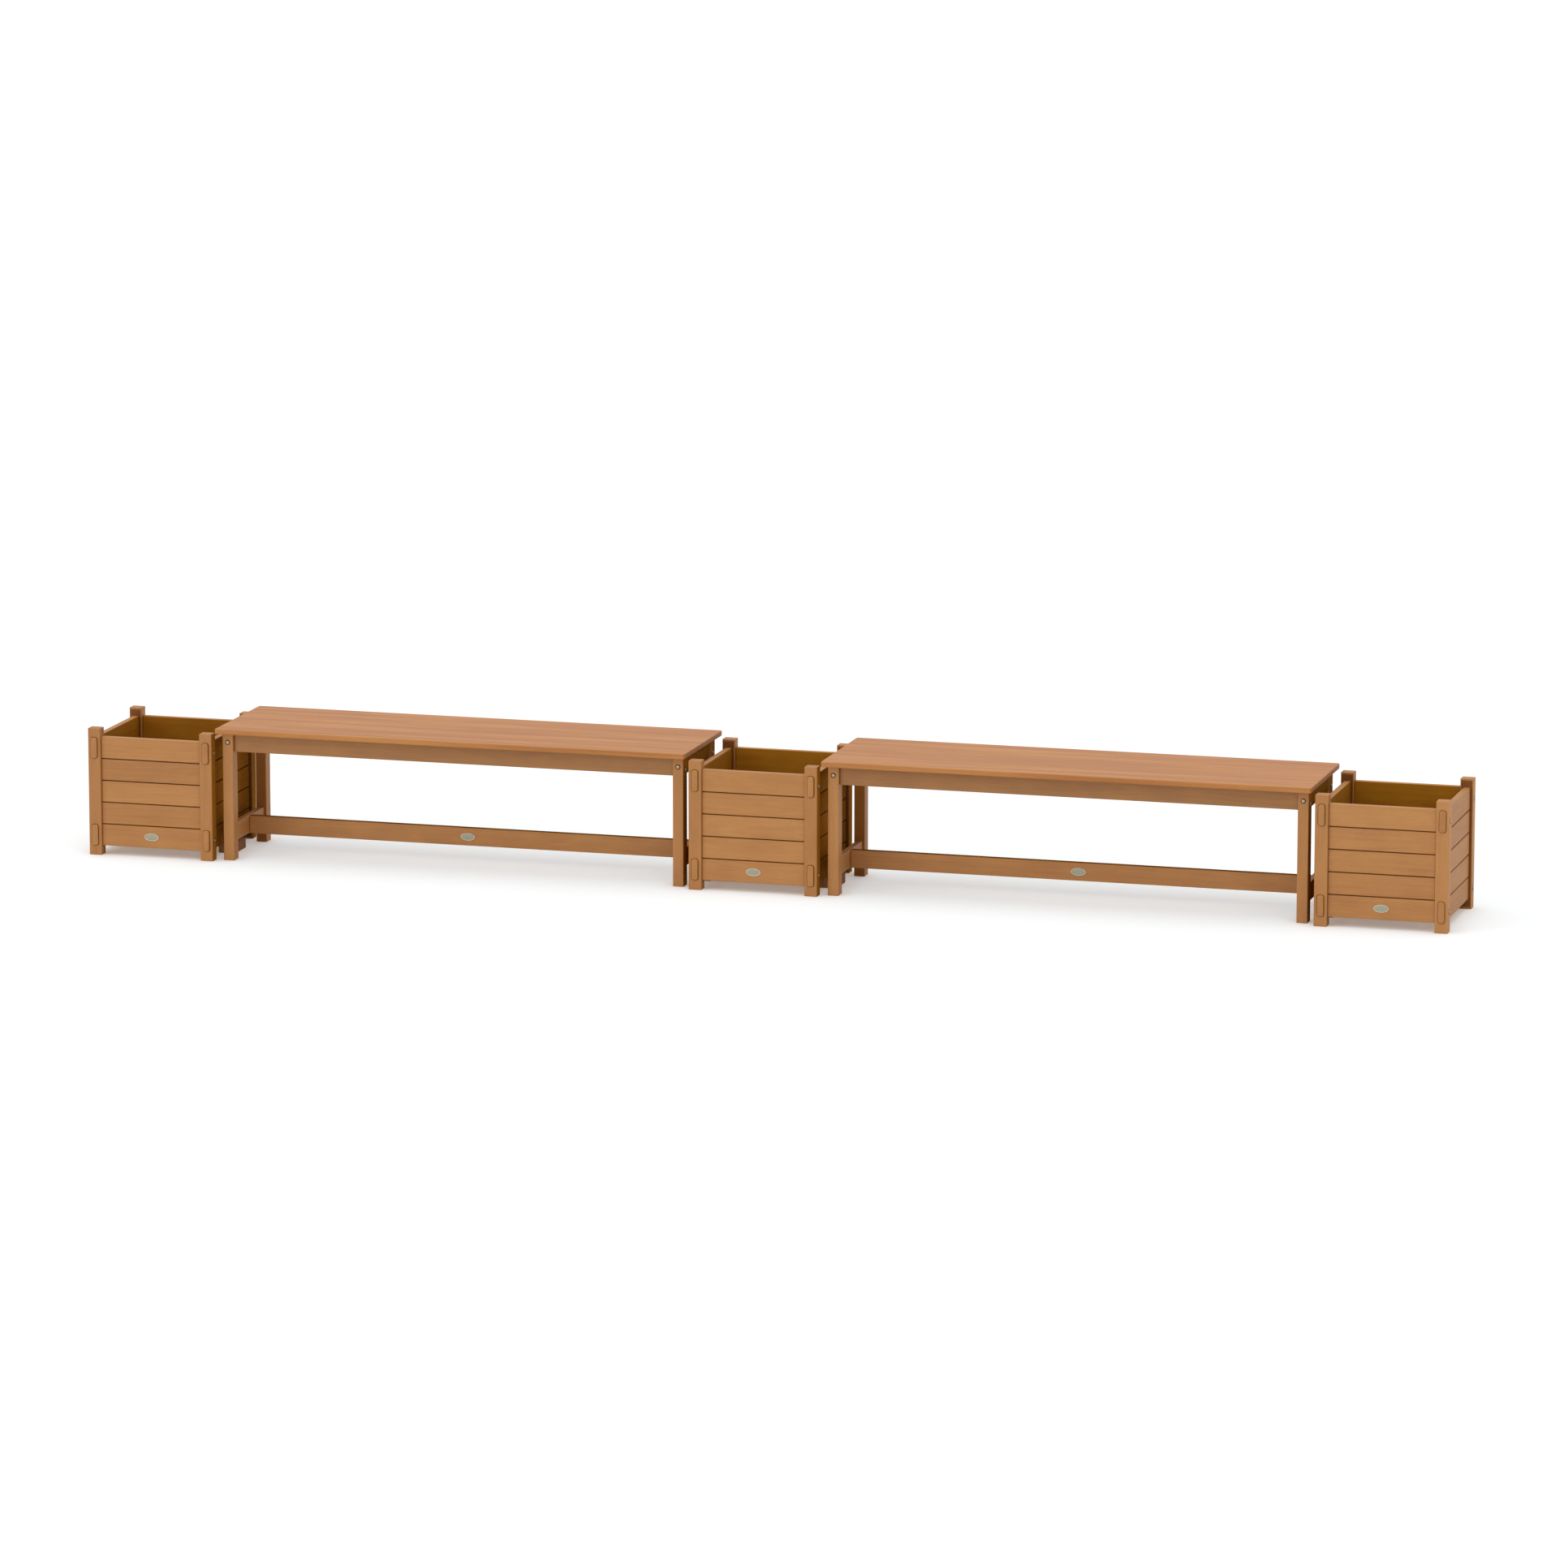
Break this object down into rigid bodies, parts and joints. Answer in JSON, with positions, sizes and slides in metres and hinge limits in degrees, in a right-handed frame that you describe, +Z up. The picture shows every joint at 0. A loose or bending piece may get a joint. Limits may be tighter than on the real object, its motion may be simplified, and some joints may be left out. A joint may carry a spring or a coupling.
{
  "type": "bench with planters",
  "caption": "Backless slab-top benches standing between square wooden planter boxes, in one straight row.",
  "frame": {"origin": "on the ground under the middle planter's centre, which is the row's centre", "axes": "+X along the row to the right as seen from its front, -Y towards the front, +Z up"},
  "size_m": [4.679, 0.453, 0.457],
  "materials": {
    "post_wood": "satin honey stain",
    "panel_wood": "satin honey stain",
    "seat_wood": "satin honey stain",
    "frame_wood": "satin honey stain",
    "floor_wood": "matt, dark",
    "plate_metal": "brushed"
  },
  "bodies": {
    "root": {"left_planter_post_front_left": "post_wood", "left_planter_post_front_right": "post_wood", "left_planter_post_rear_left": "post_wood", "left_planter_post_rear_right": "post_wood", "left_planter_front_panel": "panel_wood", "left_planter_rear_panel": "panel_wood", "left_planter_left_panel": "panel_wood", "left_planter_right_panel": "panel_wood", "left_planter_floor_panel": "floor_wood", "left_planter_plate": "plate_metal", "middle_planter_post_front_left": "post_wood", "middle_planter_post_front_right": "post_wood", "middle_planter_post_rear_left": "post_wood", "middle_planter_post_rear_right": "post_wood", "middle_planter_front_panel": "panel_wood", "middle_planter_rear_panel": "panel_wood", "middle_planter_left_panel": "panel_wood", "middle_planter_right_panel": "panel_wood", "middle_planter_floor_panel": "floor_wood", "middle_planter_plate": "plate_metal", "right_planter_post_front_left": "post_wood", "right_planter_post_front_right": "post_wood", "right_planter_post_rear_left": "post_wood", "right_planter_post_rear_right": "post_wood", "right_planter_front_panel": "panel_wood", "right_planter_rear_panel": "panel_wood", "right_planter_left_panel": "panel_wood", "right_planter_right_panel": "panel_wood", "right_planter_floor_panel": "floor_wood", "right_planter_plate": "plate_metal", "left_bench_seat": "seat_wood", "left_bench_leg_front_left": "post_wood", "left_bench_leg_front_right": "post_wood", "left_bench_leg_rear_left": "post_wood", "left_bench_leg_rear_right": "post_wood", "left_bench_front_apron": "frame_wood", "left_bench_rear_apron": "frame_wood", "left_bench_left_apron": "frame_wood", "left_bench_right_apron": "frame_wood", "left_bench_left_stretcher": "frame_wood", "left_bench_right_stretcher": "frame_wood", "left_bench_long_stretcher": "frame_wood", "left_bench_plate": "plate_metal", "right_bench_seat": "seat_wood", "right_bench_leg_front_left": "post_wood", "right_bench_leg_front_right": "post_wood", "right_bench_leg_rear_left": "post_wood", "right_bench_leg_rear_right": "post_wood", "right_bench_front_apron": "frame_wood", "right_bench_rear_apron": "frame_wood", "right_bench_left_apron": "frame_wood", "right_bench_right_apron": "frame_wood", "right_bench_left_stretcher": "frame_wood", "right_bench_right_stretcher": "frame_wood", "right_bench_long_stretcher": "frame_wood", "right_bench_plate": "plate_metal", "left_planter_link_board": "frame_wood", "middle_planter_left_link_board": "frame_wood", "middle_planter_right_link_board": "frame_wood", "right_planter_link_board": "frame_wood"}
  },
  "joints": []
}
